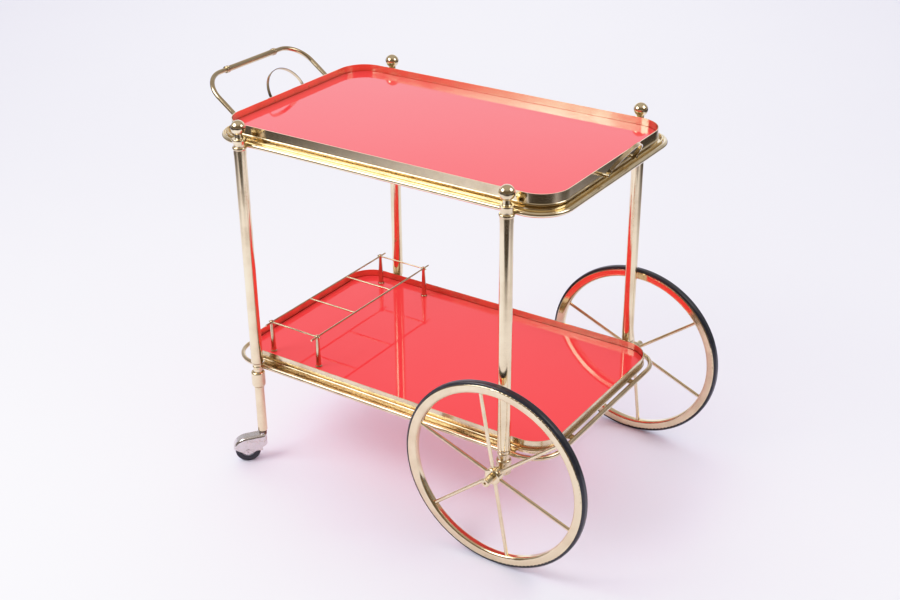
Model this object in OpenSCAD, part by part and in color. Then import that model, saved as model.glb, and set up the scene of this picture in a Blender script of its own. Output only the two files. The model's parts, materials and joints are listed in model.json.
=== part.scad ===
// Two-deck bar cart in polished brass with red glass decks.
// The upper deck lifts off as a serving tray. Two large spoked wheels carry one end
// and two swivelling hooded casters carry the other.
// +X points to the spoked wheels, +Y across the cart, +Z up. The floor is z = 0.

/* [Frame] */
// Post spacing along the cart
wheelbase = 580; // [520:5:700]
// Post spacing across the cart
track = 486; // [420:2:560]
// Outer diameter of a post tube
post_d = 24; // [20:0.5:28]
// Wall of a post tube
post_wall = 1.5; // [1:0.1:2.5]
// Height of the deck that carries the upper tray
deck_z = 690; // [600:5:760]
// Height of the bottom of the lower shelf
shelf_z = 210.3; // [205:0.1:230]
// Clearance between brazed or seated pieces
seat_gap = 0.1; // [0.05:0.05:0.2]

/* [Hoops] */
// Diameter of the round bar of both hoops
hoop_d = 9.5; // [8:0.5:11]
// Reach of the hoops past the post axes at each end
hoop_over = 81; // [78:1:110]
// Distance from the post axes in to the hoop's long sides
hoop_inset = 11.5; // [10:0.5:13]
// Corner radius of the hoops
hoop_r = 60; // [45:1:62]
// Upper hoop's axis below the deck
hoop_drop = 2.6; // [1:0.1:4]
// Lower hoop's axis above the bottom of the shelf
hoop_rise = 2.7; // [1.5:0.1:4]
// Thickness of the ledge's sheet
ledge_t = 1.5; // [1:0.1:2.5]
// Width of the ledge's flange under the tray
ledge_w = 20.5; // [16:0.5:26]
// Height of the ledge's lip above the deck
lip_h = 5.5; // [3:0.5:8]
// Length of the side rails under the shelf
rail_l = 600; // [400:10:620]
// Width of an end tab under the shelf
tab_w = 16; // [10:1:30]
// Spacing of the two tabs at each end
tab_gap = 240; // [150:10:280]

/* [Trays] */
// Gap from the ledge's lip to the tray's end wall
tray_gap_end = 3.1; // [2.5:0.1:6]
// Gap from the ledge's lip to the tray's side wall
tray_gap_side = 8.6; // [3:0.1:10]
// Corner radius of both trays
tray_r = 55; // [40:1:60]
// Height of a tray's rim
rim_h = 28; // [22:0.5:40]
// Thickness of the rim's wall
rim_t = 1.5; // [1:0.1:2]
// Radius of the bead round the rim's base
bead_r = 2.6; // [2:0.1:3]
// How far the bead stands proud of the wall
bead_out = 1.2; // [0.6:0.1:1.6]
// Set-in of the foot below the bead
foot_in = 3; // [2:0.1:5]
// Height of the foot
foot_h = 6.5; // [5:0.1:8]
// Width of the flange that carries the board
seat_w = 9.5; // [6:0.5:14]
// Thickness of the board under the glass
board_t = 7; // [5:0.5:9]
// Thickness of the red glass
glass_t = 5; // [3:0.5:6]
// Edge clearance of the glass inside the rim's wall
glass_gap = 1.0; // [0.9:0.1:2]
// Edge clearance of the board inside the rim's foot
board_gap = 0.3; // [0.2:0.1:0.8]

/* [Strap handles] */
// Middle-to-middle span of the strap's legs
strap_span = 98; // [80:1:120]
// Width of the strap
strap_w = 6.5; // [6:0.5:12]
// Thickness of the strap
strap_t = 1.8; // [1.2:0.1:2.5]
// Straight part of each leg above its peg
strap_leg = 2.5; // [1:0.5:10]
// Outward lean of the strap in degrees
strap_lean = 33; // [0:1:50]
// Diameter of a peg
peg_d = 6; // [5:0.5:8]
// Reach of a peg past the rim's wall
peg_l = 17; // [15:0.5:22]
// Reach of a peg's end past the strap
peg_end = 2.2; // [1:0.1:4]
// Height of the pegs above the glass
peg_h = 3.6; // [3.5:0.1:6]

/* [Push handle] */
// Diameter of the handle tube
handle_d = 10; // [8:0.5:12]
// Wall of the handle tube
handle_wall = 1.2; // [0.8:0.1:2]
// Spacing of the two arms
handle_gap = 287; // [240:1:320]
// Rise of the arms in degrees
handle_rise = 36.3; // [20:0.5:60]
// Distance from the hoop's axis to the bar's axis
handle_reach = 119.6; // [90:1:160]
// Bend radius of the handle's corners
handle_bend = 52.5; // [30:0.5:65]
// Length of the grip sleeve
grip_l = 132; // [90:1:150]
// Diameter of the grip sleeve
grip_d = 12.8; // [12:0.1:16]
// Diameter of the grip's end collars
collar_d = 15; // [13.5:0.5:20]
// Length of an end collar
collar_l = 9; // [6:0.5:12]

/* [Post ends] */
// Diameter of the ball finials
ball_d = 28; // [20:0.5:30]
// Height of the ball's centre above the deck
ball_z = 33.2; // [30:0.2:45]
// Diameter of the finial's neck
neck_d = 14.5; // [10:0.5:18]
// Flare of the neck's foot on each side
neck_flare = 2.2; // [0.5:0.1:3]
// Height of the post head above the deck
head_top = 12; // [9:0.5:14]
// Height of the post head's coved cap
cap_h = 14.5; // [13:0.5:20]
// Height of the rim round the cap's top
cap_rim_h = 3; // [1.5:0.1:4]
// Diameter of the cap's rim
cap_d = 26.5; // [24:0.5:28]
// Diameter of the cap at its foot
cap_foot_d = 22.5; // [19:0.5:23.5]
// Diameter of the bead under the cap
head_bead_d = 28; // [25:0.5:29.5]
// Height of the bead under the cap
head_bead_h = 7.5; // [5:0.5:9]
// Height of the plain step under the bead
head_step_h = 9; // [4:0.5:12]
// Distance of the feet's shoulders below the lower hoop's axis
foot_drop = 6; // [4:0.1:8]
// Height of the neck between a foot's shoulder and its beads
foot_neck_h = 7; // [4:0.1:9]
// Rounding of a foot's shoulder
foot_shoulder = 4; // [2:0.5:6]
// Length of the spigots inside the post tubes
spigot_l = 15; // [10:1:25]
// Diameter of the finial's stud
stud_d = 6; // [5:0.5:8]

/* [Wheel end] */
// Diameter over the tyre of a large wheel
wheel_d = 376; // [340:2:410]
// Width of the tyre
tyre_w = 15.5; // [14:0.5:20]
// Radial height of the tyre outside the rim
tyre_h = 4.8; // [4:0.1:9]
// Radial height of the brass rim
rim_ring_h = 17.5; // [14:0.5:20]
// Width of the brass rim
rim_ring_w = 17; // [15:0.5:20]
// Rounding of the rim's inner side
rim_soft = 6; // [3:0.5:7]
// Rounding of the rim's edges next to the tyre
rim_edge = 2.5; // [1:0.5:3]
// Wall of the rim's channel
channel_t = 2; // [1.5:0.1:3]
// Number of spokes
spoke_n = 6; // [5:1:8]
// Diameter of a spoke
spoke_d = 7; // [4:0.5:8]
// Angle of the back wheel's first spoke from +X in degrees
spoke_turn = 37; // [0:1:60]
// Angle by which the front wheel's spokes stand ahead in degrees
spoke_lead = 3; // [0:1:59]
// Diameter of the hub
hub_d = 32; // [28:0.5:40]
// Width of the hub
hub_w = 16.5; // [14:0.5:20]
// Distance from the post's axis out to the wheel's middle
wheel_out = 33.3; // [32:0.1:40]
// Diameter of the stub axle
axle_d = 8; // [6:0.5:10]
// Radial running clearance of every wheel and swivel
run_gap = 0.06; // [0.03:0.01:0.1]
// End float of a wheel
end_gap = 0.3; // [0.2:0.1:0.5]
// Diameter of the axle's spacer and head
spacer_d = 14; // [12:0.5:18]
// Diameter of the axle's cap
cap_nut_d = 15.5; // [13:0.5:20]
// Length of the axle's cap
cap_nut_l = 22; // [14:0.5:28]
// Diameter of the two beads on the wheel end's foot
ring_d = 24.5; // [22:0.5:27]
// Height of those two beads together
ring_h = 14.5; // [10:0.5:18]
// Diameter of the foot that holds the axle
boot_d = 28.5; // [25:0.5:30]
// Distance from the axle down to the foot's lower end
boot_under = 12.6; // [11:0.1:18]
// Rounding of the foot's lower edge
boot_r = 5; // [2:0.5:8]

/* [Caster end] */
// Diameter of the thin beads under the post tube
thin_bead_d = 21.5; // [18:0.5:23.5]
// Height of the two thin beads together
thin_bead_h = 14.5; // [10:0.5:18]
// Diameter of the coupling below the beads
coupling_d = 28.5; // [25:0.1:30]
// Height of the coupling
coupling_h = 33; // [26:0.5:42]
// Rounding of the coupling's lower edge
coupling_r = 4; // [1:0.5:5]
// Diameter of the ring under the coupling
leg_ring_d = 21.5; // [20.5:0.5:24]
// Height of the ring under the coupling
leg_ring_h = 5; // [4:0.5:10]
// Diameter at the top of the caster leg
leg_top_d = 19.8; // [17:0.1:20]
// Diameter at the bottom of the caster leg
leg_foot_d = 20.4; // [16:0.1:22]
// Diameter of a caster's wheel
roller_d = 52; // [44:1:54]
// Width of a caster's wheel
roller_w = 21; // [14:0.5:22]
// Diameter of the core of a caster's wheel
core_d = 28; // [20:1:34]
// Trail from the swivel's axis to the wheel's axis
trail = 33; // [30:0.5:38]
// Direction of both casters, turned from -X towards -Y in degrees
caster_turn = 43; // [0:1:359]
// Slope of the hood's back down to the wheel cover in degrees
hood_slope = 8; // [5:1:12]
// Width of the hood
hood_w = 28; // [27:0.5:32]
// Thickness of the hood's sheet
hood_t = 2; // [1.2:0.1:2.5]
// Gap between the hood and the wheel's tread
hood_gap = 2.5; // [1.5:0.1:5]
// Edge rounding of the hood
hood_edge = 6; // [4:0.5:8]
// Reach of the hood ahead of the swivel's axis
hood_front = 7.5; // [6:0.5:12]
// Radius of the hood's lug round the axle
hood_lug_r = 8.5; // [7:0.5:12]
// Diameter of the swivel's boss on the hood
boss_d = 17; // [14:0.5:22]
// Diameter of the swivel's stem
stem_d = 8; // [6:0.5:10]
// Length of the stem inside the leg
stem_l = 36; // [24:1:60]
// Diameter of the stem's shoulder
shoulder_d = 15; // [11:0.5:18]
// Height of the stem's shoulder
shoulder_h = 4.4; // [1.5:0.1:6]
// Diameter of the caster's axle
pin_d = 5; // [4:0.5:7]
// Diameter of the axle's heads
pin_head_d = 8; // [7.5:0.5:12]
// Thickness of the axle's heads
pin_head_t = 1; // [0.8:0.1:3]

/* [Bottle gallery] */
// Distance from the shelf's end wall to the outer rail
gallery_in = 66.5; // [50:0.5:90]
// Spacing of the two rails
gallery_w = 116.5; // [100:0.5:140]
// Spacing of the gallery's posts across the shelf
gallery_l = 370.6; // [320:1:380]
// Height of the rails above the glass
gallery_h = 66.5; // [50:0.5:90]
// Diameter of the rails
gallery_rail_d = 4; // [3.5:0.1:6]
// Diameter of the cross rods
gallery_rod_d = 3.6; // [3:0.1:5]
// Number of bottle bays
bay_n = 3; // [2:1:4]
// Reach of the rails past the gallery's posts
rail_over = 18.5; // [8:0.5:18.5]
// Reach of the outer cross rods past the rails
rod_over = 7; // [5.5:0.5:12]
// Diameter of a gallery post at its foot
gallery_foot_d = 13.5; // [11:0.5:18]
// Diameter of a gallery post at its top
gallery_top_d = 7.5; // [6:0.5:10]
// Diameter of a gallery post's head
gallery_head_d = 10; // [9:0.5:14]

/* [Hidden] */
$fn = 64;
post_x = wheelbase / 2;
post_y = track / 2;
hoop_l = wheelbase + 2 * hoop_over;
hoop_w = track - 2 * hoop_inset;
upper_hoop_z = deck_z - hoop_drop;
lower_hoop_z = shelf_z + hoop_rise;

// Plan of the ledge, measured inwards from the hoop's axis
lip_in = hoop_d / 2 + seat_gap;
tray_l = hoop_l - 2 * (lip_in + ledge_t + tray_gap_end);
tray_w = hoop_w - 2 * (lip_in + ledge_t + tray_gap_side);

// Heights inside one tray, from the bottom of its foot
bead_sink = 0.6;
board_z = rim_t;
glass_z = board_z + board_t;
glass_top = glass_z + glass_t;
bead_z = foot_h + bead_r - bead_sink;
screw_in = foot_in + rim_t + seat_w / 2;

// Rails and tabs reach from under the shelf's foot to the hoop's underside
carrier_y = tray_w / 2 - foot_in - rim_t - seat_w;
carrier_x = tray_l / 2 - foot_in - rim_t - seat_w;
screw_d = 3.5;
screw_head_d = 6.5;
screw_head_t = 1.6;
screw_end = 30;
screw_tip = 1;
rail_screw_n = 3;

// Pegs and straps of the upper tray
peg_z = deck_z + glass_top + peg_h;
peg_y = strap_span / 2 + strap_t / 2 + peg_d / 2 + seat_gap;
strap_x = tray_l / 2 + peg_l - strap_w / 2 - peg_end;
peg_head_d = 6.6;
peg_head_t = 0.8;
peg_stem_d = 3.6;

// Post heads and feet
head_z = deck_z + head_top;
bead_top = head_z - cap_h;
tube_top = bead_top - head_bead_h - head_step_h;
shoulder_top = lower_hoop_z - foot_drop;
tube_foot_wheel = shoulder_top + foot_neck_h + ring_h;
tube_foot_caster = shoulder_top + foot_neck_h + thin_bead_h;
spigot_d = post_d - 2 * post_wall - 2 * seat_gap;
bead_core = 1.5;
bead_taper = 0.4;
bead_flat = 0.6;
rim_flat = 0.2;
step_out = 0.5;
stud_end = 2;
leg_ring_z = shoulder_top - coupling_h - leg_ring_h;
leg_edge = 0.8;
stem_room = 4;

// Large wheels
wheel_r = wheel_d / 2;
rim_r = wheel_r - tyre_h;
wheel_y = post_y + wheel_out;
hub_face = wheel_y + hub_w / 2;
boot_foot = wheel_r - boot_under;
spacer_sink = 1.5;
spacer_start = post_y + boot_d / 2 - spacer_sink;
axle_head_t = 3;
spoke_seat = 3;
groove_z = 2 * channel_t;
tyre_root = 1;
cap_grip = 6;
cap_wall = 5;
cap_recess = 2.5;
cap_edge = 2;
hub_edge = 3.5;

// Casters
hood_r = roller_d / 2 + hood_gap + hood_t;
roller_z = roller_d / 2;
hood_rear = 15;
nose_rise = 13;
hood_front_z = roller_z + nose_rise;
hood_nose_r = 7;
boss_rise = 0.8;
hood_top = roller_z + hood_r / cos(hood_slope) + (trail + boss_d / 2) * tan(hood_slope) + boss_rise;
leg_z = hood_top + shoulder_h + end_gap;
rivet_t = 1.5;
rivet_z = roller_z + (hood_r - hood_t) / cos(hood_slope) + (trail - stem_d) * tan(hood_slope) - rivet_t;
shoulder_lip = 1.4;
tread_edge = 4;
core_step = 1;
washer_t = (hood_w - 2 * hood_t - roller_w) / 2 - end_gap;

// Bottle gallery
gallery_x = -(tray_l / 2 - gallery_in);
gallery_z = shelf_z + glass_top + gallery_h;
gallery_base = shelf_z + glass_top;
gallery_pad = 2;
gallery_step = 1.2;
gallery_neck = 3;

// Push handle
arm_y = handle_gap / 2;
handle_out = handle_reach * cos(handle_rise) + hoop_l / 2;
ring_share = 0.36;
ring_flat = 0.3;

// The frame is shifted so that its box is centred on x = 0
x_shift = (handle_out + collar_d / 2 - (post_x + wheel_r)) / 2;

brass = [0.80, 0.66, 0.40];
dark_brass = [0.62, 0.49, 0.28];
nickel = [0.72, 0.70, 0.68];
rubber = [0.08, 0.08, 0.09];
red_glass = [0.90, 0.12, 0.12];
lacquer_red = [0.62, 0.08, 0.07];

// Shared shapes

// Sweeps a profile round a rounded rectangle; the profile's x is the distance outwards
module round_plan(length, width, radius) {
    for (end = [0, 1])
        mirror([end, 0, 0])
            translate([length / 2, width / 2 - radius, 0])
                rotate([90, 0, 0])
                    linear_extrude(width - 2 * radius)
                        children();
    for (side = [0, 1])
        mirror([0, side, 0])
            translate([radius - length / 2, width / 2, 0])
                rotate([90, 0, 90])
                    linear_extrude(length - 2 * radius)
                        children();
    for (end = [0, 1])
        for (side = [0, 1])
            mirror([end, 0, 0])
                mirror([0, side, 0])
                    translate([length / 2 - radius, width / 2 - radius, 0])
                        rotate_extrude(angle = 90)
                            translate([radius, 0])
                                children();
}

// Flat plate with rounded corners
module round_plate(length, width, radius, thick) {
    linear_extrude(thick)
        union() {
            square([length - 2 * radius, width], center = true);
            square([length, width - 2 * radius], center = true);
            for (sx = [-1, 1])
                for (sy = [-1, 1])
                    translate([sx * (length / 2 - radius), sy * (width / 2 - radius)])
                        circle(radius);
        }
}

// Rectangle with rounded corners, standing on x = 0
module soft_square(wide, high, radius) {
    translate([radius, 0])
        square([wide - 2 * radius, high]);
    translate([0, radius])
        square([wide, high - 2 * radius]);
    for (x = [radius, wide - radius])
        for (y = [radius, high - radius])
            translate([x, y])
                circle(radius);
}

// Half of a turned ring's profile with both outer edges rounded
module turned(radius, low, high, edge) {
    translate([0, low])
        square([radius - edge, high - low]);
    translate([0, low + edge])
        square([radius, high - low - 2 * edge]);
    for (y = [low + edge, high - edge])
        translate([radius - edge, y])
            circle(edge);
}

// Half of a turned foot's profile with its own rounding below and above
module shouldered(radius, low, high, below, above) {
    translate([0, low])
        square([radius - below, high - low - above]);
    translate([0, low + below])
        square([radius, high - low - below - above]);
    translate([0, high - above])
        square([radius - above, above]);
    translate([radius - below, low + below])
        circle(below);
    translate([radius - above, high - above])
        circle(above);
}

// Two turned beads over a neck, from the shoulder at z = 0 up to the post tube
module foot_beads(diameter, height) {
    bead = height / 2;
    square([diameter / 2 - bead_core, foot_neck_h + height]);
    for (i = [0, 1])
        turned(diameter / 2 - (1 - i) * bead_taper, foot_neck_h + i * bead, foot_neck_h + (i + 1) * bead,
            bead / 2 - bead_flat);
}

// Bar along Y through (x, z)
module bar_y(x, z, diameter, from, to) {
    translate([x, to, z])
        rotate([90, 0, 0])
            cylinder(d = diameter, h = to - from);
}

// Bar along X through (y, z)
module bar_x(y, z, diameter, from, to) {
    translate([from, y, z])
        rotate([0, 90, 0])
            cylinder(d = diameter, h = to - from);
}

// Room for a hoop's long side next to the post at side sy
module hoop_room(sy, z) {
    bar_x(sy * hoop_w / 2, z, hoop_d + 2 * seat_gap, -post_x - head_bead_d, post_x + head_bead_d);
}

// Everything of the cart is placed through this shift
module cart() {
    translate([x_shift, 0, 0])
        children();
}

module at_post(sx, sy) {
    translate([sx * post_x, sy * post_y, 0])
        children();
}

// Hoops, ledge and shelf carriers

module hoop(z) {
    color(brass)
        cart()
            round_plan(hoop_l, hoop_w, hoop_r)
                translate([0, z])
                    circle(d = hoop_d);
}

module upper_ledge() {
    color(dark_brass)
        cart()
            round_plan(hoop_l - 2 * lip_in, hoop_w - 2 * lip_in, hoop_r - lip_in)
                union() {
                    translate([-ledge_w, deck_z - ledge_t])
                        square([ledge_w, ledge_t]);
                    translate([-ledge_t, deck_z - ledge_t])
                        square([ledge_t, ledge_t + lip_h]);
                }
}

module screw_places() {
    for (sy = [-1, 1])
        for (i = [0 : rail_screw_n - 1])
            translate([(i / (rail_screw_n - 1) - 0.5) * (rail_l - 2 * screw_end),
                sy * (tray_w / 2 - screw_in), 0])
                children();
}

module shelf_rails() {
    color(dark_brass)
        cart()
            difference() {
                for (sy = [0, 1])
                    mirror([0, sy, 0])
                        translate([-rail_l / 2, carrier_y, shelf_z - ledge_t])
                            cube([rail_l, hoop_w / 2 - carrier_y, ledge_t]);
                for (sy = [-1, 1])
                    bar_x(sy * hoop_w / 2, lower_hoop_z, hoop_d + 2 * seat_gap, -rail_l, rail_l);
                screw_places()
                    translate([0, 0, shelf_z - 2 * ledge_t])
                        cylinder(d = screw_d + 2 * seat_gap, h = 4 * ledge_t);
            }
}

module shelf_tabs() {
    color(dark_brass)
        cart()
            difference() {
                for (sx = [0, 1])
                    for (sy = [-1, 1])
                        mirror([sx, 0, 0])
                            translate([carrier_x, sy * tab_gap / 2 - tab_w / 2, shelf_z - ledge_t])
                                cube([hoop_l / 2 - carrier_x, tab_w, ledge_t]);
                for (sx = [-1, 1])
                    bar_y(sx * hoop_l / 2, lower_hoop_z, hoop_d + 2 * seat_gap, -hoop_w / 2, hoop_w / 2);
            }
}

module shelf_screws() {
    color(brass)
        cart()
            screw_places()
                translate([0, 0, shelf_z - ledge_t - screw_head_t])
                    union() {
                        cylinder(d = screw_head_d, h = screw_head_t);
                        cylinder(d = screw_d, h = screw_head_t + ledge_t + rim_t + board_t - 2 * screw_tip);
                    }
}

// Trays

module rim_profile() {
    translate([-rim_t, foot_h - rim_t])
        square([rim_t, rim_h - foot_h + rim_t]);
    intersection() {
        translate([bead_out - bead_r, bead_z])
            circle(bead_r);
        translate([-rim_t, 0])
            square([rim_t + bead_r, rim_h]);
    }
    translate([-foot_in - rim_t, foot_h - rim_t])
        square([foot_in + rim_t, rim_t]);
    translate([-foot_in - rim_t, 0])
        square([rim_t, foot_h]);
    translate([-foot_in - rim_t - seat_w, 0])
        square([seat_w + rim_t, rim_t]);
}

module rim(z) {
    translate([0, 0, z])
        round_plan(tray_l, tray_w, tray_r)
            rim_profile();
}

module board(z) {
    inset = foot_in + rim_t + board_gap;
    translate([0, 0, z + board_z])
        round_plate(tray_l - 2 * inset, tray_w - 2 * inset, tray_r - inset, board_t);
}

module glass(z) {
    inset = rim_t + glass_gap;
    color(red_glass)
        cart()
            translate([0, 0, z + glass_z])
                round_plate(tray_l - 2 * inset, tray_w - 2 * inset, tray_r - inset, glass_t);
}

module shelf_rim() {
    color(brass)
        cart()
            difference() {
                rim(shelf_z);
                screw_places()
                    translate([0, 0, shelf_z - rim_t])
                        cylinder(d = screw_d + 2 * seat_gap, h = 3 * rim_t);
            }
}

module shelf_board() {
    color(lacquer_red)
        cart()
            difference() {
                board(shelf_z);
                screw_places()
                    translate([0, 0, shelf_z])
                        cylinder(d = screw_d + 2 * seat_gap, h = rim_t + board_t - screw_tip);
            }
}

module tray_rim() {
    color(brass)
        cart()
            difference() {
                rim(deck_z);
                for (sx = [-1, 1])
                    for (sy = [-1, 1])
                        bar_x(sy * peg_y, peg_z, peg_stem_d + 2 * seat_gap,
                            sx * tray_l / 2 - 2 * rim_t, sx * tray_l / 2 + 2 * rim_t);
            }
}

module tray_board() {
    color(lacquer_red)
        cart()
            board(deck_z);
}

// Bent strap between the two pegs at one end of the tray
module strap(end) {
    color(brass)
        cart()
            mirror([end, 0, 0])
                translate([strap_x, 0, peg_z])
                    rotate([0, strap_lean, 0])
                        union() {
                            translate([0, 0, strap_leg])
                                rotate([0, -90, 0])
                                    rotate([0, 0, -90])
                                        rotate_extrude(angle = 180)
                                            translate([strap_span / 2 - strap_t / 2, -strap_w / 2])
                                                square([strap_t, strap_w]);
                            for (sy = [-1, 1])
                                translate([-strap_w / 2, sy * strap_span / 2 - strap_t / 2, -peg_d / 2])
                                    cube([strap_w, strap_t, peg_d / 2 + strap_leg]);
                        }
}

module strap_pegs() {
    color(brass)
        cart()
            for (sx = [0, 1])
                for (sy = [-1, 1])
                    mirror([sx, 0, 0])
                        union() {
                            bar_x(sy * peg_y, peg_z, peg_d, tray_l / 2, tray_l / 2 + peg_l);
                            bar_x(sy * peg_y, peg_z, peg_stem_d, tray_l / 2 - rim_t, tray_l / 2);
                            bar_x(sy * peg_y, peg_z, peg_head_d,
                                tray_l / 2 - rim_t - peg_head_t, tray_l / 2 - rim_t);
                        }
}

// Posts, heads, finials and feet

module post(sx, sy) {
    foot = sx > 0 ? tube_foot_wheel : tube_foot_caster;
    color(brass)
        cart()
            at_post(sx, sy)
                translate([0, 0, foot])
                    difference() {
                        cylinder(d = post_d, h = tube_top - foot);
                        translate([0, 0, -1])
                            cylinder(d = post_d - 2 * post_wall, h = tube_top - foot + 2);
                    }
}

module head(sx, sy) {
    cove_h = cap_h - cap_rim_h;
    cove_w = (cap_d - cap_foot_d) / 2;
    cove_r = (cove_h * cove_h + cove_w * cove_w) / (2 * cove_w);
    color(brass)
        cart()
            difference() {
                at_post(sx, sy)
                    rotate_extrude()
                        difference() {
                            union() {
                                translate([0, tube_top - spigot_l])
                                    square([spigot_d / 2, spigot_l + 1]);
                                translate([0, tube_top])
                                    square([post_d / 2 + step_out, head_step_h + 1]);
                                turned(head_bead_d / 2, bead_top - head_bead_h, bead_top,
                                    head_bead_h / 2 - bead_flat);
                                turned(cap_d / 2, head_z - cap_rim_h, head_z, cap_rim_h / 2 - rim_flat);
                                difference() {
                                    translate([0, bead_top - 1])
                                        square([cap_d / 2, cove_h + 1 + cap_rim_h / 2]);
                                    translate([cap_foot_d / 2 + cove_r, bead_top])
                                        circle(cove_r, $fn = 240);
                                }
                            }
                            translate([-1, head_z - spigot_l])
                                square([1 + stud_d / 2 + seat_gap, spigot_l + 1]);
                            translate([-head_bead_d, 0])
                                square([head_bead_d, head_z + 1]);
                        }
                hoop_room(sy, upper_hoop_z);
            }
}

module finial(sx, sy) {
    color(brass)
        cart()
            at_post(sx, sy)
                rotate_extrude()
                    intersection() {
                        union() {
                            translate([0, deck_z + ball_z])
                                circle(d = ball_d);
                            translate([0, head_z])
                                square([neck_d / 2, ball_z - head_top]);
                            difference() {
                                translate([0, head_z])
                                    square([neck_d / 2 + neck_flare, neck_flare]);
                                translate([neck_d / 2 + neck_flare, head_z + neck_flare])
                                    circle(neck_flare);
                            }
                            translate([0, head_z - spigot_l + stud_end])
                                square([stud_d / 2, spigot_l]);
                        }
                        translate([0, head_z - spigot_l])
                            square([ball_d, spigot_l + ball_z + ball_d]);
                    }
}

// Foot of a wheel-end post, which holds the stub axle
module boot(sy) {
    color(brass)
        cart()
            difference() {
                at_post(1, sy)
                    rotate_extrude()
                        intersection() {
                            union() {
                                translate([0, tube_foot_wheel - 1])
                                    square([spigot_d / 2, spigot_l + 1]);
                                translate([0, shoulder_top - foot_shoulder])
                                    square([ring_d / 2 - bead_core, foot_shoulder + 1]);
                                translate([0, shoulder_top])
                                    foot_beads(ring_d, ring_h);
                                shouldered(boot_d / 2, boot_foot, shoulder_top, boot_r, foot_shoulder);
                            }
                            translate([0, boot_foot])
                                square([boot_d, tube_foot_wheel + spigot_l - boot_foot]);
                        }
                hoop_room(sy, lower_hoop_z);
                bar_y(post_x, wheel_r, axle_d + 2 * seat_gap, sy * post_y - ring_d, sy * post_y + ring_d);
                mirror([0, sy > 0 ? 0 : 1, 0])
                    bar_y(post_x, wheel_r, spacer_d + 2 * seat_gap, spacer_start, spacer_start + ring_d);
                mirror([0, sy > 0 ? 0 : 1, 0])
                    bar_y(post_x, wheel_r, spacer_d + 2 * seat_gap,
                        post_y - boot_d / 2 - ring_d, post_y - boot_d / 2 + spacer_sink);
            }
}

// Coupling and tapered leg of a caster-end post
module leg(sy) {
    color(brass)
        cart()
            difference() {
                at_post(-1, sy)
                    rotate_extrude()
                        difference() {
                            union() {
                                translate([0, tube_foot_caster - 1])
                                    square([spigot_d / 2, spigot_l + 1]);
                                translate([0, shoulder_top - foot_shoulder])
                                    square([thin_bead_d / 2 - bead_core, foot_shoulder + 1]);
                                translate([0, shoulder_top])
                                    foot_beads(thin_bead_d, thin_bead_h);
                                shouldered(coupling_d / 2, shoulder_top - coupling_h, shoulder_top,
                                    coupling_r, foot_shoulder);
                                translate([0, leg_ring_z + leg_ring_h / 2])
                                    square([leg_ring_d / 2 - 1, leg_ring_h / 2 + coupling_r / 2]);
                                turned(leg_ring_d / 2, leg_ring_z, leg_ring_z + leg_ring_h,
                                    leg_ring_h / 2 - bead_flat);
                                polygon([[0, leg_z], [leg_foot_d / 2 - leg_edge, leg_z],
                                    [leg_foot_d / 2, leg_z + leg_edge], [leg_top_d / 2, leg_ring_z + 1],
                                    [0, leg_ring_z + 1]]);
                            }
                            translate([-coupling_d, 0])
                                square([coupling_d, tube_foot_caster + 2 * spigot_l]);
                            translate([-1, leg_z - 1])
                                square([1 + stem_d / 2 + run_gap, 1 + stem_l + stem_room]);
                        }
                hoop_room(sy, lower_hoop_z);
            }
}

// Push handle

module in_handle_plane() {
    translate([-hoop_l / 2, 0, upper_hoop_z])
        rotate([0, handle_rise, 0])
            children();
}

module handle_path(diameter) {
    for (side = [0, 1])
        mirror([0, side, 0])
            union() {
                bar_x(arm_y, 0, diameter, handle_bend - handle_reach, 0);
                translate([handle_bend - handle_reach, arm_y - handle_bend, 0])
                    rotate([0, 0, 90])
                        rotate_extrude(angle = 90)
                            translate([handle_bend, 0])
                                circle(d = diameter);
            }
    bar_y(-handle_reach, 0, diameter, handle_bend - arm_y, arm_y - handle_bend);
}

module push_handle() {
    color(brass)
        cart()
            difference() {
                in_handle_plane()
                    handle_path(handle_d);
                in_handle_plane()
                    handle_path(handle_d - 2 * handle_wall);
                bar_y(-hoop_l / 2, upper_hoop_z, hoop_d + 2 * seat_gap, -hoop_w / 2, hoop_w / 2);
                in_handle_plane()
                    translate([0, -hoop_w / 2, -hoop_d])
                        cube([hoop_d, hoop_w, 2 * hoop_d]);
            }
}

module grip_sleeve() {
    color(brass)
        cart()
            in_handle_plane()
                difference() {
                    bar_y(-handle_reach, 0, grip_d, -grip_l / 2, grip_l / 2);
                    bar_y(-handle_reach, 0, handle_d + 2 * seat_gap, -grip_l, grip_l);
                }
}

module grip_collars() {
    ring = collar_l * ring_share;
    color(brass)
        cart()
            in_handle_plane()
                for (side = [0, 1])
                    mirror([0, side, 0])
                        translate([-handle_reach, grip_l / 2 + seat_gap, 0])
                            rotate([-90, 0, 0])
                                rotate_extrude()
                                    difference() {
                                        union() {
                                            square([grip_d / 2, collar_l]);
                                            for (low = [0, collar_l - ring])
                                                turned(collar_d / 2, low, low + ring, ring / 2 - ring_flat);
                                        }
                                        translate([-collar_d, -1])
                                            square([collar_d + handle_d / 2 + seat_gap, collar_l + 2]);
                                    }
}

// Bottle gallery

module gallery_bars(gap) {
    rail_end = gallery_l / 2 + rail_over;
    for (x = [gallery_x, gallery_x + gallery_w])
        bar_y(x, gallery_z, gallery_rail_d + 2 * gap, -rail_end, rail_end);
    for (i = [0 : bay_n]) {
        over = (i == 0 || i == bay_n) ? rod_over : 0;
        bar_x((i / bay_n - 0.5) * gallery_l, gallery_z, gallery_rod_d + 2 * gap,
            gallery_x - over, gallery_x + gallery_w + over);
    }
}

module gallery_frame() {
    color(brass)
        cart()
            gallery_bars(0);
}

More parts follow.
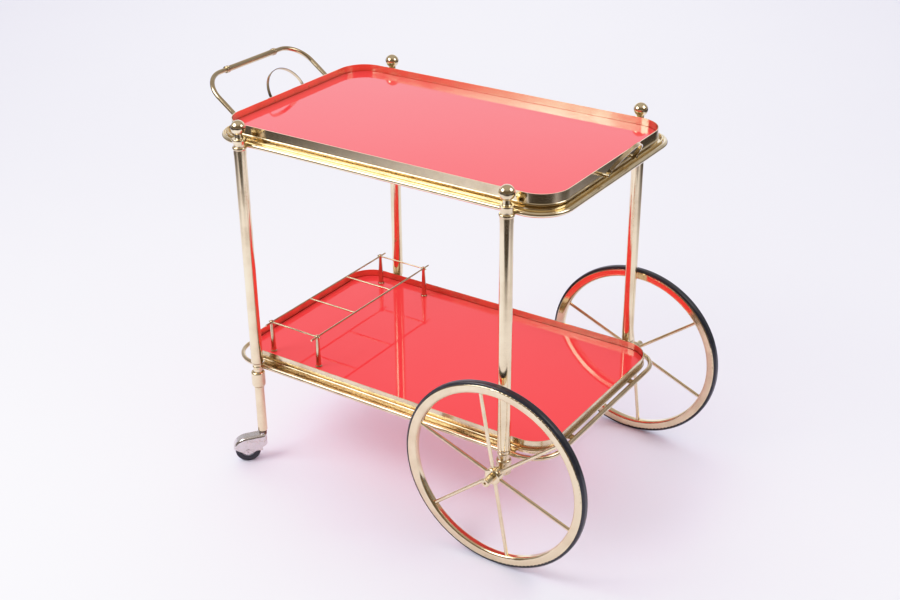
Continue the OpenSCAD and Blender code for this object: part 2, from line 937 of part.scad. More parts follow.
module gallery_posts() {
    color(brass)
        cart()
            difference() {
                for (x = [gallery_x, gallery_x + gallery_w])
                    for (sy = [-1, 1])
                        translate([x, sy * gallery_l / 2, 0])
                            rotate_extrude()
                                intersection() {
                                    union() {
                                        polygon([[0, gallery_base], [gallery_foot_d / 2, gallery_base],
                                            [gallery_foot_d / 2, gallery_base + gallery_pad],
                                            [gallery_foot_d / 2 - gallery_step,
                                                gallery_base + 2 * gallery_pad],
                                            [gallery_top_d / 2, gallery_z - gallery_neck],
                                            [0, gallery_z - gallery_neck]]);
                                        translate([0, gallery_z])
                                            circle(d = gallery_head_d);
                                    }
                                    translate([0, gallery_base])
                                        square([gallery_foot_d, gallery_h + gallery_head_d]);
                                }
                gallery_bars(seat_gap);
            }
}

// Large wheels

module at_wheel(sy) {
    translate([post_x, sy * wheel_y, wheel_r])
        rotate([90, 0, 0])
            children();
}

module tyre(sy) {
    groove_w = rim_ring_w - 2 * channel_t - 2 * seat_gap;
    color(rubber)
        cart()
            at_wheel(sy)
                rotate_extrude($fn = 96)
                    union() {
                        translate([rim_r + seat_gap, -tyre_w / 2])
                            intersection() {
                                translate([-tyre_h, 0])
                                    soft_square(2 * tyre_h - seat_gap, tyre_w, tyre_h - 2 * seat_gap);
                                square([tyre_h, tyre_w]);
                            }
                        translate([rim_r - rim_ring_h + groove_z + tyre_root, -groove_w / 2])
                            square([rim_ring_h - groove_z, groove_w]);
                    }
}

function spoke_angle(sy, i) = spoke_turn + (sy < 0 ? spoke_lead : 0) + i * 360 / spoke_n;

// Section of the rim's channel, well rounded inside and lightly next to the tyre
module rim_section() {
    groove_w = rim_ring_w - 2 * channel_t;
    translate([rim_r - rim_ring_h, -rim_ring_w / 2])
        difference() {
            intersection() {
                soft_square(rim_ring_h + 2 * rim_soft, rim_ring_w, rim_soft);
                translate([-2 * rim_edge, 0])
                    soft_square(rim_ring_h + 2 * rim_edge, rim_ring_w, rim_edge);
            }
            translate([groove_z, channel_t])
                square([rim_ring_h, groove_w]);
        }
}

module wheel_rim(sy) {
    color(brass)
        cart()
            at_wheel(sy)
                difference() {
                    rotate_extrude($fn = 96)
                        rim_section();
                    for (i = [0 : spoke_n - 1])
                        rotate([0, 0, spoke_angle(sy, i)])
                            translate([rim_r - rim_ring_h - spoke_seat, 0, 0])
                                rotate([0, 90, 0])
                                    cylinder(d = spoke_d + 2 * seat_gap, h = 2 * spoke_seat);
                }
}

module spokes(sy) {
    start = hub_d / 2 - spoke_seat;
    color(brass)
        cart()
            at_wheel(sy)
                for (i = [0 : spoke_n - 1])
                    rotate([0, 0, spoke_angle(sy, i)])
                        translate([start, 0, 0])
                            rotate([0, 90, 0])
                                cylinder(d = spoke_d, h = rim_r - rim_ring_h + spoke_seat - seat_gap - start);
}

module hub(sy) {
    color(brass)
        cart()
            at_wheel(sy)
                difference() {
                    rotate_extrude()
                        intersection() {
                            turned(hub_d / 2, -hub_w / 2, hub_w / 2, hub_edge);
                            translate([0, -hub_w / 2])
                                square([hub_d, hub_w]);
                        }
                    translate([0, 0, -hub_w])
                        cylinder(d = axle_d + 2 * run_gap, h = 2 * hub_w);
                    for (i = [0 : spoke_n - 1])
                        rotate([0, 0, spoke_angle(sy, i)])
                            translate([hub_d / 2 - spoke_seat - seat_gap, 0, 0])
                                rotate([0, 90, 0])
                                    cylinder(d = spoke_d + 2 * seat_gap, h = hub_d);
                }
}

// Stub axle with its inner head and the spacer between post and hub
module axle(sy) {
    color(brass)
        cart()
            mirror([0, sy > 0 ? 0 : 1, 0])
                union() {
                    bar_y(post_x, wheel_r, axle_d, post_y - boot_d / 2, hub_face + cap_nut_l - cap_grip);
                    bar_y(post_x, wheel_r, spacer_d,
                        spacer_start + seat_gap, wheel_y - hub_w / 2 - end_gap);
                    bar_y(post_x, wheel_r, spacer_d,
                        post_y - boot_d / 2 - axle_head_t, post_y - boot_d / 2 + spacer_sink - seat_gap);
                }
}

module axle_cap(sy) {
    color(brass)
        cart()
            mirror([0, sy > 0 ? 0 : 1, 0])
                translate([post_x, hub_face + end_gap, wheel_r])
                    rotate([-90, 0, 0])
                        rotate_extrude()
                            difference() {
                                turned(cap_nut_d / 2, 0, cap_nut_l, cap_edge);
                                translate([-cap_nut_d, -1])
                                    square([cap_nut_d, cap_nut_l + 2]);
                                translate([-1, -1])
                                    square([1 + axle_d / 2 + seat_gap, 1 + cap_nut_l - cap_wall]);
                                translate([-1, cap_nut_l - cap_recess])
                                    square([1 + cap_nut_d / 6, 1 + cap_recess]);
                            }
}

// Casters, built with the swivel's axis on z and the trail along +X

module at_caster(sy) {
    translate([-post_x, sy * post_y, 0])
        rotate([0, 0, 180 + caster_turn])
            children();
}

// Angle of the point where the tangent from (x, z) touches the lug, above or below
function lug_touch(x, z, side) = atan2(z - roller_z, x - trail)
    + side * acos(hood_lug_r / norm([x - trail, z - roller_z]));
function on_axle(radius, angle) = [trail + radius * cos(angle), roller_z + radius * sin(angle)];
// Height of the hood's sloping back at x
function back_z(x, inset) = roller_z + (hood_r - inset) / cos(hood_slope) + (trail - x) * tan(hood_slope);

// Side view of the hood: wheel cover, back that slopes up to the swivel, lug round the axle
module hood_sides() {
    rear = on_axle(hood_r, hood_rear);
    intersection() {
        translate([trail, roller_z])
            circle(hood_r, $fn = 96);
        polygon([[trail, roller_z], on_axle(2 * hood_r, hood_rear), [trail + 2 * hood_r, 3 * hood_r],
            [-hood_r, 3 * hood_r], [-hood_r, roller_z]]);
    }
    translate([trail, roller_z])
        circle(hood_lug_r);
    polygon([[-hood_front, back_z(-hood_front, 0)], [-hood_front, hood_front_z],
        on_axle(hood_lug_r, lug_touch(-hood_front, hood_front_z, 1)),
        on_axle(hood_lug_r, lug_touch(rear[0], rear[1], -1)),
        rear, on_axle(hood_r, 90 - hood_slope)]);
}

// Room inside the neck, open below
module neck_room() {
    polygon([[hood_t - hood_front, -1], [hood_t - hood_front, back_z(hood_t - hood_front, hood_t)],
        on_axle(hood_r - hood_t, 90 - hood_slope), [trail, -1]]);
}

module across(width) {
    translate([0, width / 2, 0])
        rotate([90, 0, 0])
            linear_extrude(width)
                children();
}

// Rounded drum about the caster's axle
module drum(radius, width, edge) {
    translate([trail, 0, roller_z])
        rotate([90, 0, 0])
            rotate_extrude()
                intersection() {
                    turned(radius, -width / 2, width / 2, edge);
                    translate([0, -width / 2])
                        square([radius, width]);
                }
}

// Neck with the cover's own rounding along its sloping back, as far as the axle's plane
module hood_neck() {
    neck_l = trail + 2 * hood_front;
    translate([trail, 0, roller_z])
        rotate([0, hood_slope, 0])
            translate([-neck_l, -hood_w / 2, 0])
                rotate([90, 0, 90])
                    linear_extrude(neck_l)
                        translate([0, hood_r - 2 * hood_w])
                            soft_square(hood_w, 2 * hood_w, hood_edge);
}

module hood(sy) {
    inner_w = hood_w - 2 * hood_t;
    body_l = hood_front + trail + 2 * hood_r;
    color(nickel)
        cart()
            at_caster(sy)
                difference() {
                    union() {
                        intersection() {
                            across(hood_w)
                                hood_sides();
                            union() {
                                drum(hood_r, hood_w, hood_edge);
                                hood_neck();
                            }
                            translate([body_l / 2 - hood_front, 0, 0])
                                round_plate(body_l, hood_w, hood_nose_r, 3 * hood_r);
                        }
                        translate([0, 0, hood_top - boss_rise - 2 * hood_t])
                            cylinder(d = boss_d, h = boss_rise + 2 * hood_t);
                    }
                    drum(hood_r - hood_t, inner_w, hood_edge - hood_t);
                    across(inner_w - 2 * hood_t)
                        neck_room();
                    translate([0, 0, hood_top - 4 * hood_t])
                        cylinder(d = stem_d + 2 * seat_gap, h = 5 * hood_t);
                    translate([trail, hood_w, roller_z])
                        rotate([90, 0, 0])
                            cylinder(d = pin_d + 2 * seat_gap, h = 2 * hood_w);
                }
}

// Swivel stem with its shoulder above the hood and its riveted foot below
module stem(sy) {
    color(dark_brass)
        cart()
            at_caster(sy)
                union() {
                    translate([0, 0, rivet_z])
                        cylinder(d = stem_d, h = hood_top - rivet_z + shoulder_h + stem_l);
                    translate([0, 0, hood_top])
                        cylinder(d = shoulder_d, h = shoulder_h / 2);
                    translate([0, 0, hood_top])
                        cylinder(d = shoulder_d - 2 * shoulder_lip, h = shoulder_h);
                    translate([0, 0, rivet_z])
                        cylinder(d = stem_d + 2 * rivet_t, h = rivet_t);
                }
}

module pin(sy) {
    color(nickel)
        cart()
            at_caster(sy)
                translate([trail, 0, roller_z])
                    rotate([90, 0, 0])
                        union() {
                            translate([0, 0, -hood_w / 2])
                                cylinder(d = pin_d, h = hood_w);
                            for (side = [0, 1])
                                mirror([0, 0, side])
                                    union() {
                                        translate([0, 0, hood_w / 2])
                                            difference() {
                                                cylinder(d = pin_head_d, h = pin_head_t);
                                                translate([0, 0, pin_head_t / 4])
                                                    cylinder(d = pin_head_d / 2, h = pin_head_t);
                                            }
                                        translate([0, 0, roller_w / 2 + end_gap])
                                            cylinder(d = pin_head_d, h = washer_t);
                                    }
                        }
}

module roller(sy) {
    color(rubber)
        cart()
            at_caster(sy)
                difference() {
                    drum(roller_d / 2, roller_w, tread_edge);
                    translate([trail, roller_w, roller_z])
                        rotate([90, 0, 0])
                            cylinder(d = core_d, h = 2 * roller_w);
                }
}

module core(sy) {
    color(nickel)
        cart()
            at_caster(sy)
                translate([trail, 0, roller_z])
                    rotate([90, 0, 0])
                        difference() {
                            union() {
                                translate([0, 0, core_step - roller_w / 2])
                                    cylinder(d = core_d - 2 * seat_gap, h = roller_w - 2 * core_step);
                                translate([0, 0, -roller_w / 2])
                                    cylinder(d = pin_head_d + 2 * core_step, h = roller_w);
                            }
                            translate([0, 0, -roller_w])
                                cylinder(d = pin_d + 2 * run_gap, h = 2 * roller_w);
                        }
}

hoop(upper_hoop_z);  // upper_hoop
upper_ledge();
hoop(lower_hoop_z);  // lower_hoop
shelf_rails();
shelf_tabs();
shelf_screws();
shelf_rim();
shelf_board();
glass(shelf_z);  // shelf_glass
post(-1, -1);  // post_front_left
post(1, -1);  // post_front_right
post(-1, 1);  // post_back_left
post(1, 1);  // post_back_right
head(-1, -1);  // head_front_left
head(1, -1);  // head_front_right
head(-1, 1);  // head_back_left
head(1, 1);  // head_back_right
finial(-1, -1);  // finial_front_left
finial(1, -1);  // finial_front_right
finial(-1, 1);  // finial_back_left
finial(1, 1);  // finial_back_right
boot(-1);  // boot_front
boot(1);  // boot_back
leg(-1);  // leg_front
leg(1);  // leg_back
axle(-1);  // axle_front
axle(1);  // axle_back
axle_cap(-1);  // axle_cap_front
axle_cap(1);  // axle_cap_back
push_handle();
grip_sleeve();
grip_collars();
gallery_frame();
gallery_posts();
tray_rim();
tray_board();
glass(deck_z);  // tray_glass
strap(1);  // strap_left
strap(0);  // strap_right
strap_pegs();
tyre(-1);  // tyre_front
wheel_rim(-1);  // rim_front
spokes(-1);  // spokes_front
hub(-1);  // hub_front
tyre(1);  // tyre_back
wheel_rim(1);  // rim_back
spokes(1);  // spokes_back
hub(1);  // hub_back
hood(-1);  // hood_front
stem(-1);  // stem_front
pin(-1);  // pin_front
roller(-1);  // roller_front
core(-1);  // core_front
hood(1);  // hood_back
stem(1);  // stem_back
pin(1);  // pin_back
roller(1);  // roller_back
core(1);  // core_back
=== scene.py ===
import bpy
import bmesh
import json
import math
from mathutils import Matrix, Vector

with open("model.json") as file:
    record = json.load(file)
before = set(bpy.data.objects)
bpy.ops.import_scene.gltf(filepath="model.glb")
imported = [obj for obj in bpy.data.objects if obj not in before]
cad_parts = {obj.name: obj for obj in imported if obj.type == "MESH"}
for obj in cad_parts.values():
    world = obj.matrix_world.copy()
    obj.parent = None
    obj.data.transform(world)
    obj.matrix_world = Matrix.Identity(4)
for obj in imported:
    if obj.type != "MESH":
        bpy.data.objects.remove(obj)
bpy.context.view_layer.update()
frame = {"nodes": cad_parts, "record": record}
nodes = frame["nodes"]
scene = bpy.context.scene
print("frame loaded:", len(nodes), "nodes")


# A node's output, which can be used in sums
class Sock:
    def __init__(self, shade, out):
        self.shade = shade
        self.out = out

    def calc(self, operation, first, second):
        settings = {"operation": operation}
        return self.shade.node("ShaderNodeMath", settings, {0: first, 1: second})[0]

    def __add__(self, other):
        return self.calc("ADD", self, other)

    def __radd__(self, other):
        return self.calc("ADD", other, self)

    def __sub__(self, other):
        return self.calc("SUBTRACT", self, other)

    def __rsub__(self, other):
        return self.calc("SUBTRACT", other, self)

    def __mul__(self, other):
        return self.calc("MULTIPLY", self, other)

    def __rmul__(self, other):
        return self.calc("MULTIPLY", other, self)

    def clamp(self):
        return self.calc("MINIMUM", self.calc("MAXIMUM", self, 0.0), 1.0)


# A new node, whose outputs are taken by name or number
class Made:
    def __init__(self, shade, node):
        self.shade = shade
        self.node = node

    def __getitem__(self, key):
        return Sock(self.shade, self.node.outputs[key])


mixSockets = {"first": 6, "second": 7, "result": 2}    # where the Mix node keeps its colours


# The nodes of one material, or of the world
class Shade:
    def __init__(self, owner):
        owner.use_nodes = True
        self.owner = owner
        self.tree = owner.node_tree
        self.tree.nodes.clear()

    def node(self, kind, settings=None, values=None):
        made = self.tree.nodes.new(kind)
        for key, value in (settings or {}).items():
            if key == "stops":
                self.setStops(made, value)
            else:
                setattr(made, key, value)
        for key, value in (values or {}).items():
            if isinstance(value, Sock):
                self.tree.links.new(value.out, made.inputs[key])
            else:
                made.inputs[key].default_value = value
        return Made(self, made)

    def setStops(self, made, stops):
        ramp = made.color_ramp
        while len(ramp.elements) < len(stops):
            ramp.elements.new(0.5)
        for element, (place, grey) in zip(ramp.elements, stops):
            element.position = place
            element.color = (grey, grey, grey, 1)

    def noise(self, scale, detail=3.0, rough=0.5, stretch=(1, 1, 1)):
        where = self.node("ShaderNodeTexCoord")["Object"]
        where = self.node("ShaderNodeMapping", {}, {"Vector": where, "Scale": stretch})[0]
        values = {"Vector": where, "Scale": scale, "Detail": detail, "Roughness": rough}
        return self.node("ShaderNodeTexNoise", {}, values)[0]

    def ramp(self, value, stops):
        return self.node("ShaderNodeValToRGB", {"stops": stops}, {0: value})[0]

    def band(self, value, low, high):
        return self.ramp(value, [(low, 0), (high, 1)])

    def mix(self, factor, first, second):
        values = {0: factor}
        for side, value in (("first", first), ("second", second)):
            values[mixSockets[side]] = value if isinstance(value, Sock) else (*value[:3], 1)
        return self.node("ShaderNodeMix", {"data_type": "RGBA"}, values)[mixSockets["result"]]

    def dot(self, value, axis):
        settings = {"operation": "DOT_PRODUCT"}
        return self.node("ShaderNodeVectorMath", settings, {0: value, 1: tuple(axis)})["Value"]

    def bump(self, height, strength, distance):
        values = {"Height": height, "Strength": strength, "Distance": distance}
        return self.node("ShaderNodeBump", {}, values)["Normal"]

    # The noise that a look describes, as separate spots if it has limits
    def grain(self, look):
        stretch = look.get("stretch", (1, 1, 1))
        value = self.noise(look["scale"], look["detail"], look["rough"], stretch)
        return self.band(value, look["from"], look["to"]) if "from" in look else value

    def finish(self, values):
        shader = self.node("ShaderNodeBsdfPrincipled", {}, values)
        self.node("ShaderNodeOutputMaterial", {}, {"Surface": shader["BSDF"]})
        return self.owner


def newShade(name):
    return Shade(bpy.data.materials.new(name))


brassAges = {    # roughness is that of a spot without wear or scratches
    "polished_brass": {
        "name": "polishedBrass",
        "bright": (0.83, 0.70, 0.455),
        "aged": (0.52, 0.40, 0.23),
        "roughness": 0.09,
        "ageShare": 0.5,
    },
    "aged_brass": {
        "name": "agedBrass",
        "bright": (0.72, 0.57, 0.37),
        "aged": (0.40, 0.27, 0.15),
        "roughness": 0.18,
        "ageShare": 0.8,
    },
    "handled_brass": {
        "name": "handledBrass",
        "bright": (0.62, 0.51, 0.325),
        "aged": (0.36, 0.265, 0.15),
        "roughness": 0.13,
        "ageShare": 0.7,
    },
    # a darker copy of the brass for the lower deck's rim, hoop and boots: painted shade, with the
    # same tarnish patches as the rest
    "mellow_brass": {
        "name": "shadedBrass",
        "bright": (0.75, 0.62, 0.41),
        "aged": (0.42, 0.31, 0.18),
        "roughness": 0.11,
        "ageShare": 0.75,
    },
}
brassWear = {
    "patches": {"scale": 22.0, "detail": 4.0, "rough": 0.6, "from": 0.42, "to": 0.68},
    "patchShare": 0.75,
    "specks": {"scale": 420.0, "detail": 3.0, "rough": 0.6, "from": 0.60, "to": 0.74},
    "speckShare": 0.35,
    "scratches": {"scale": 260.0, "detail": 2.0, "rough": 0.5, "stretch": (1.0, 1.0, 0.08)},
    "dents": {"scale": 60.0, "detail": 2.0, "rough": 0.5},
    "wornRoughness": 0.10,
    "scratchRoughness": 0.06,
    "scratchDepth": 0.3,
    "bumpStrength": 0.07,
    "bumpHeight": 0.0004,
    "lacquer": 0.4,    # what is left of an old clear coat
    "lacquerRoughness": 0.06,
}


def makeBrass(look):
    s = newShade(look["name"])
    patches = s.grain(brassWear["patches"]) * brassWear["patchShare"]
    specks = s.grain(brassWear["specks"]) * brassWear["speckShare"]
    wear = (patches + specks).clamp()
    scratches = s.grain(brassWear["scratches"])
    rough = wear * brassWear["wornRoughness"] + scratches * brassWear["scratchRoughness"]
    height = scratches * brassWear["scratchDepth"] + s.grain(brassWear["dents"])
    return s.finish({
        "Base Color": s.mix(wear * look["ageShare"], look["bright"], look["aged"]),
        "Metallic": 1.0,
        "Coat Weight": brassWear["lacquer"],
        "Coat Roughness": brassWear["lacquerRoughness"],
        "Roughness": rough + look["roughness"],
        "Normal": s.bump(height, brassWear["bumpStrength"], brassWear["bumpHeight"]),
    })


plainLooks = {
    "red_glass": {    # painted on its back, with smudges
        "name": "redGlass",
        "colour": (0.98, 0.043, 0.052),
        "worn": (0.95, 0.050, 0.060),
        "wear": {"scale": 9.0, "detail": 4.0, "rough": 0.6, "from": 0.45, "to": 0.75},
        "wearShare": 0.2,
        "roughness": 0.02,
        "wornRoughness": 0.03,
        "bump": {"scale": 3.5, "detail": 2.0, "rough": 0.5, "strength": 0.05, "height": 0.0006},
        "sockets": {"IOR": 1.52},
    },
    "deck_board": {
        "name": "deckBoard",
        "colour": (0.82, 0.05, 0.05),
        "worn": (0.74, 0.04, 0.04),
        "wear": {"scale": 18.0, "detail": 5.0, "rough": 0.6, "stretch": (0.12, 1.0, 1.0)},
        "wearShare": 1.0,
        "roughness": 0.5,
        "wornRoughness": 0.15,
        "bump": {"scale": 18.0, "detail": 5.0, "rough": 0.6, "stretch": (0.12, 1.0, 1.0),
                 "strength": 0.2, "height": 0.0005},
    },
    "black_rubber": {    # with dust; the slight blue cast of the black is a painted sheen
        "name": "blackRubber",
        "colour": (0.011, 0.012, 0.019),
        "worn": (0.045, 0.046, 0.055),
        "wear": {"scale": 35.0, "detail": 4.0, "rough": 0.6, "from": 0.5, "to": 0.8},
        "wearShare": 0.5,
        "roughness": 0.30,
        "wornRoughness": 0.2,
        "bump": {"scale": 900.0, "detail": 2.0, "rough": 0.6, "strength": 0.15, "height": 0.0003},
    },
    "nickel_plate": {
        "name": "nickelPlate",
        "colour": (0.70, 0.655, 0.64),
        "worn": (0.50, 0.43, 0.37),
        "wear": {"scale": 70.0, "detail": 5.0, "rough": 0.65, "from": 0.45, "to": 0.7},
        "wearShare": 0.6,
        "roughness": 0.2,
        "wornRoughness": 0.18,
        "bump": {"scale": 300.0, "detail": 3.0, "rough": 0.5, "strength": 0.1, "height": 0.0003},
        "sockets": {"Metallic": 1.0},
    },
    "dark_steel": {
        "name": "darkSteel",
        "colour": (0.20, 0.17, 0.14),
        "worn": (0.09, 0.07, 0.05),
        "wear": {"scale": 90.0, "detail": 4.0, "rough": 0.6, "from": 0.4, "to": 0.7},
        "wearShare": 1.0,
        "roughness": 0.3,
        "wornRoughness": 0.2,
        "sockets": {"Metallic": 1.0},
    },
    "grey_core": {
        "name": "greyCore",
        "colour": (0.20, 0.21, 0.23),
        "worn": (0.28, 0.29, 0.31),
        "wear": {"scale": 120.0, "detail": 3.0, "rough": 0.5},
        "wearShare": 1.0,
        "roughness": 0.4,
        "wornRoughness": 0.1,
    },
}


def makePlain(look):
    s = newShade(look["name"])
    wear = s.grain(look["wear"])
    values = {
        "Base Color": s.mix(wear * look["wearShare"], look["colour"], look["worn"]),
        "Roughness": wear * look["wornRoughness"] + look["roughness"],
        **look.get("sockets", {}),
    }
    if "bump" in look:
        bump = look["bump"]
        values["Normal"] = s.bump(s.grain(bump), bump["strength"], bump["height"])
    return s.finish(values)


finishes = {slot: makeBrass(look) for slot, look in brassAges.items()}
finishes.update({slot: makePlain(look) for slot, look in plainLooks.items()})
otherFinish = {    # nodes given another brass than the slot in their record: the darker handled brass, a darker copy as painted shade, a paler one as painted highlight
    # handle, grip, gallery and the left strap in the darker handled brass; the right strap keeps
    # its slot
    "handled_brass": ("push_handle", "grip_sleeve", "grip_collars", "gallery_frame",
                      "gallery_posts", "strap_left"),
    # the lower deck's rim, hoop and boots in the darker copy: painted shade
    "mellow_brass": ("shelf_rim", "lower_hoop", "boot_front", "boot_back"),
    # the upper ledge in the paler polished brass: a painted highlight
    "polished_brass": ("upper_ledge",),
}
finishOf = {part["node"]: part["material_slot"] for part in frame["record"]["subparts"]}
for finish, names in otherFinish.items():
    finishOf.update(dict.fromkeys(names, finish))
smoothLimit = math.radians(32)    # flatter edges than this are shaded round


def dress(obj, finish):
    obj.data.materials.clear()
    obj.data.materials.append(finishes[finish])


def smooth(obj):
    mesh = obj.data
    mesh.shade_smooth()
    work = bmesh.new()
    work.from_mesh(mesh)
    for edge in work.edges:
        if len(edge.link_faces) == 2:
            edge.smooth = edge.calc_face_angle(0.0) < smoothLimit
    work.to_mesh(mesh)
    work.free()


for name, obj in nodes.items():
    dress(obj, finishOf[name])
    smooth(obj)
print("finishes on the frame's nodes")


# Studio: pale paper rolled out along the view, a dim room round it, a soft box on each side
cameraLook = {
    "place": (1.35315, -2.00643, 1.57703),
    "azimuth": 33.75,
    "elevation": 27.03,
    "roll": -0.47,
    "lens": 54.48,
    "sensor": 36.0,
    "clip": (0.05, 60.0),
}
turn = math.radians(cameraLook["azimuth"])
viewAlong = Vector((-math.sin(turn), math.cos(turn), 0))
viewRight = Vector((math.cos(turn), math.sin(turn), 0))
cameraFoot = Vector((cameraLook["place"][0], cameraLook["place"][1], 0))


# Which way a bearing points from the cart: 0 is away from the camera, 90 to its right
def direction(bearing, rise):
    side, lift = math.radians(bearing), math.radians(rise)
    level = viewAlong * math.cos(side) + viewRight * math.sin(side)
    return level * math.cos(lift) + Vector((0, 0, math.sin(lift)))


def flatPiece(name, corners, material):
    mesh = bpy.data.meshes.new(name)
    mesh.from_pydata([tuple(c) for c in corners], [], [tuple(range(len(corners)))])
    mesh.materials.append(material)
    obj = bpy.data.objects.new(name, mesh)
    scene.collection.objects.link(obj)
    return obj


def square(half, height):
    return [(x * half, y * half, height) for x, y in ((-1, -1), (1, -1), (1, 1), (-1, 1))]


def hideFrom(obj, rays):
    for ray in rays:
        setattr(obj, "visible_" + ray, False)


def dimmed(colour, share):
    return tuple(c * share for c in colour)


paperLook = {
    "size": 24.0,
    "colour": (0.86, 0.86, 1.0),
    "dimmer": 0.985,
    "mottleScale": 3.0,
    "mottleRoughness": 0.05,
    "roughness": 0.6,
}


def makePaper():
    s = newShade("paper")
    mottle = s.noise(paperLook["mottleScale"])
    dull = dimmed(paperLook["colour"], paperLook["dimmer"])
    s.finish({
        "Base Color": s.mix(mottle, paperLook["colour"], dull),
        "Roughness": mottle * paperLook["mottleRoughness"] + paperLook["roughness"],
        "Specular IOR Level": 0.0,
    })
    flatPiece("paperFloor", square(paperLook["size"] / 2, 0), s.owner)


makePaper()

roomFloorLook = {
    "size": 18.0,
    "height": 0.003,
    "colour": (0.05, 0.042, 0.035),
    "roughness": 0.6,
    "paperLeft": -1.8,    # where the paper lies, from the camera's foot
    "paperRight": 1.5,
    "paperStart": 0.975,
    "sideFade": 0.8,
    "startFade": 0.05,
}


# Beyond the paper the room's own floor is dark; only reflections see it
def makeRoomFloor():
    look = roomFloorLook
    s = newShade("roomFloor")
    where = s.node("ShaderNodeTexCoord")["Object"]
    right = s.dot(where, viewRight) - cameraFoot.dot(viewRight)
    along = s.dot(where, viewAlong) - cameraFoot.dot(viewAlong)
    fade = look["sideFade"]
    paper = ((right - (look["paperLeft"] - fade / 2)) * (1 / fade)).clamp()
    paper = paper * (((look["paperRight"] + fade / 2) - right) * (1 / fade)).clamp()
    paper = paper * ((along - look["paperStart"]) * (1 / look["startFade"]) + 0.5).clamp()
    s.finish({
        "Base Color": s.mix(paper, look["colour"], paperLook["colour"]),
        "Roughness": look["roughness"],
        "Specular IOR Level": 0.0,
    })
    part = flatPiece("roomFloor", square(look["size"] / 2, look["height"]), s.owner)
    hideFrom(part, ("camera", "diffuse", "shadow", "transmission", "volume_scatter"))


makeRoomFloor()

wallLook = {
    "radius": 11.8,
    "foot": -0.01,
    "height": 9.0,
    "sides": 64,
    "colour": (0.80, 0.80, 0.90),
    "dimmer": 0.97,
    "mottleScale": 0.4,
    "mottleDetail": 2.0,
}


# A pale wall right round, so that low views don't look into the dark; only the camera sees it
def makeWall():
    look = wallLook
    count = look["sides"]
    s = newShade("paleWall")
    mottle = s.noise(look["mottleScale"], look["mottleDetail"])
    s.finish({
        "Base Color": (0, 0, 0, 1),
        "Emission Color": s.mix(mottle, look["colour"], dimmed(look["colour"], look["dimmer"])),
        "Emission Strength": 1.0,
        "Specular IOR Level": 0.0,
    })
    angles = [2 * math.pi / count * k for k in range(count)]
    ring = [(look["radius"] * math.cos(a), look["radius"] * math.sin(a)) for a in angles]
    points = [(x, y, z) for z in (look["foot"], look["height"]) for x, y in ring]
    pairs = [(k, (k + 1) % count) for k in range(count)]
    mesh = bpy.data.meshes.new("paleWall")
    mesh.from_pydata(points, [], [(a, b, b + count, a + count) for a, b in pairs])
    mesh.materials.append(s.owner)
    wall = bpy.data.objects.new("paleWall", mesh)
    scene.collection.objects.link(wall)
    hideFrom(wall, ("diffuse", "glossy", "shadow", "transmission", "volume_scatter"))


makeWall()

worldLook = {
    "back": (1.32, 1.33, 1.46),
    "backHigh": (0.92, 0.92, 0.96),
    "backFade": (0.34, 0.52),    # sine of the rise over which the paper dims
    "room": (0.16, 0.125, 0.095),
    "opening": [(0.42, 0), (0.75, 0.3), (0.92, 0.55), (0.985, 1)],    # from room to paper
    "ceiling": (0.52, 0.47, 0.43),
    "ceilingFade": (0.55, 0.85),
}


def makeWorld():
    world = bpy.data.worlds.new("studioAir")
    scene.world = world
    air = Shade(world)
    ray = air.node("ShaderNodeTexCoord")["Generated"]
    away = air.dot(ray, viewAlong)
    up = air.dot(ray, (0, 0, 1))
    paperShare = air.band(up, *worldLook["backFade"])
    paper = air.mix(paperShare, worldLook["back"], worldLook["backHigh"])
    spread = air.ramp(away * 0.5 + 0.5, worldLook["opening"])
    walls = air.mix(spread, worldLook["room"], paper)
    colour = air.mix(air.band(up, *worldLook["ceilingFade"]), walls, worldLook["ceiling"])
    shader = air.node("ShaderNodeBackground", {}, {"Color": colour, "Strength": 1.0})
    air.node("ShaderNodeOutputWorld", {}, {"Surface": shader["Background"]})


makeWorld()

toneLook = {
    "white": 2.0,    # the light that stands at 1 on the curve
    "curve": [(0, 0), (0.2, 0.4), (0.3, 0.59), (0.4, 0.755), (0.5, 0.88), (0.65, 0.96), (1, 1)],
}


# The camera's tone curve: plain up to the mid tones, rolled off towards white
def makeTone():
    view = scene.view_settings
    view.view_transform = "Standard"
    view.use_curve_mapping = True
    mapping = view.curve_mapping
    mapping.white_level = (toneLook["white"],) * 3
    curve = mapping.curves[3]    # the one for all channels
    curve.points[0].location = toneLook["curve"][0]
    curve.points[1].location = toneLook["curve"][-1]
    for light, shown in toneLook["curve"][1:-1]:
        curve.points.new(light, shown)
    mapping.update()


makeTone()

softBoxes = {
    "softBoxLeft": {
        "bearing": 252,
        "distance": 1.95,
        "rise": 37.5,
        "size": (1.25, 0.95),
        "glow": (7.6, 7.45, 7.3),
    },
    "softBoxRight": {
        "bearing": 109,
        "distance": 2.0,
        "rise": 38,
        "size": (1.0, 0.9),
        "glow": (4.4, 4.3, 4.2),
    },
}
softBoxCloth = {
    "colour": (0.8, 0.8, 0.8, 1),
    "edge": 0.12,    # share of the side over which the glow falls off
    "edgeGlow": (0.3, 0.26, 0.22),
    "faces": (-0.03, 0, 0.55),    # the point that both boxes face
}


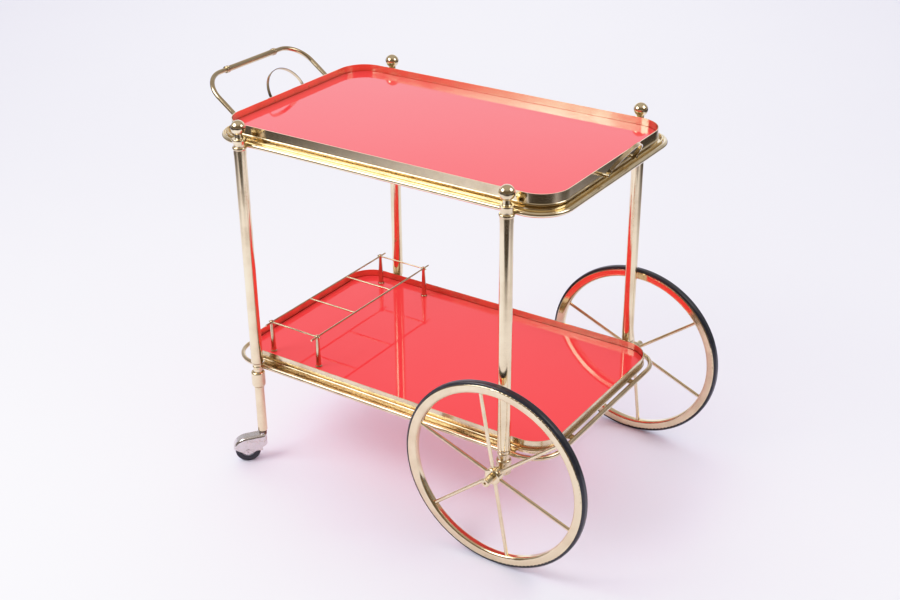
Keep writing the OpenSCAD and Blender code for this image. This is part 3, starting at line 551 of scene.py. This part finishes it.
def makeSoftBox(name, look):
    s = newShade(name)
    where = s.node("ShaderNodeSeparateXYZ", {}, {0: s.node("ShaderNodeTexCoord")["UV"]})
    places = (where[0], 1 - where[0], where[1], 1 - where[1])
    left, right, low, high = (s.band(place, 0.0, softBoxCloth["edge"]) for place in places)
    s.finish({
        "Base Color": softBoxCloth["colour"],
        "Emission Color": s.mix(left * right * low * high, softBoxCloth["edgeGlow"], look["glow"]),
        "Emission Strength": 1.0,
    })
    out = direction(look["bearing"], look["rise"])
    middle = Vector(softBoxCloth["faces"]) + out * look["distance"]
    across = Vector((0, 0, 1)).cross(out).normalized() * look["size"][0] / 2
    up = out.cross(across).normalized() * look["size"][1] / 2
    corners = ((0, 0), (1, 0), (1, 1), (0, 1))
    points = [middle + across * (2 * u - 1) + up * (2 * v - 1) for u, v in corners]
    box = flatPiece(name, points, s.owner)
    cover = box.data.uv_layers.new(name="cover")
    for corner, place in zip(cover.data, corners):
        corner.uv = place


for name, look in softBoxes.items():
    makeSoftBox(name, look)

washLook = {
    "strengths": {0: 0.95, 50: 0.7, 130: 0.6, 230: 1.0, 310: 1.0},    # by bearing
    "rise": 24,
    "spread": 70,
    "colour": (0.92, 0.94, 1.0),
}


# Light that pale walls throw low over the floor from all sides; reflections don't see it
def makeWash(bearing, strength):
    data = bpy.data.lights.new("wash", "SUN")
    data.energy = strength
    data.color = washLook["colour"]
    data.angle = math.radians(washLook["spread"])
    light = bpy.data.objects.new("wash", data)
    source = direction(bearing, washLook["rise"])
    light.rotation_mode = "QUATERNION"
    light.rotation_quaternion = source.to_track_quat("Z", "Y")
    light.visible_glossy = False
    scene.collection.objects.link(light)


for bearing, strength in washLook["strengths"].items():
    makeWash(bearing, strength)

farLook = {
    "away": 3.3,
    "height": 1.9,
    "size": 2.6,
    "power": 15.0,
    "colour": (0.92, 0.94, 1.0),
}


# Evens out the paper behind the cart
def makeFarLight():
    data = bpy.data.lights.new("farLight", "AREA")
    data.shape = "SQUARE"
    data.size = farLook["size"]
    data.energy = farLook["power"]
    data.color = farLook["colour"]
    light = bpy.data.objects.new("farLight", data)
    light.location = viewAlong * farLook["away"] + Vector((0, 0, farLook["height"]))
    light.visible_glossy = False
    scene.collection.objects.link(light)


makeFarLight()
print("studio set")


def makeCamera():
    data = bpy.data.cameras.new("photoCamera")
    data.sensor_fit = "HORIZONTAL"
    data.sensor_width = cameraLook["sensor"]
    data.lens = cameraLook["lens"]
    data.clip_start, data.clip_end = cameraLook["clip"]
    camera = bpy.data.objects.new("photoCamera", data)
    scene.collection.objects.link(camera)
    tilt = math.radians(cameraLook["elevation"])
    ahead = viewAlong * math.cos(tilt) - Vector((0, 0, math.sin(tilt)))
    aim = ahead.to_track_quat("-Z", "Y").to_matrix()
    roll = Matrix.Rotation(math.radians(cameraLook["roll"]), 3, "Z")
    camera.rotation_mode = "QUATERNION"
    camera.rotation_quaternion = (aim @ roll).to_quaternion()
    camera.location = cameraLook["place"]
    scene.camera = camera


makeCamera()
print("camera set")
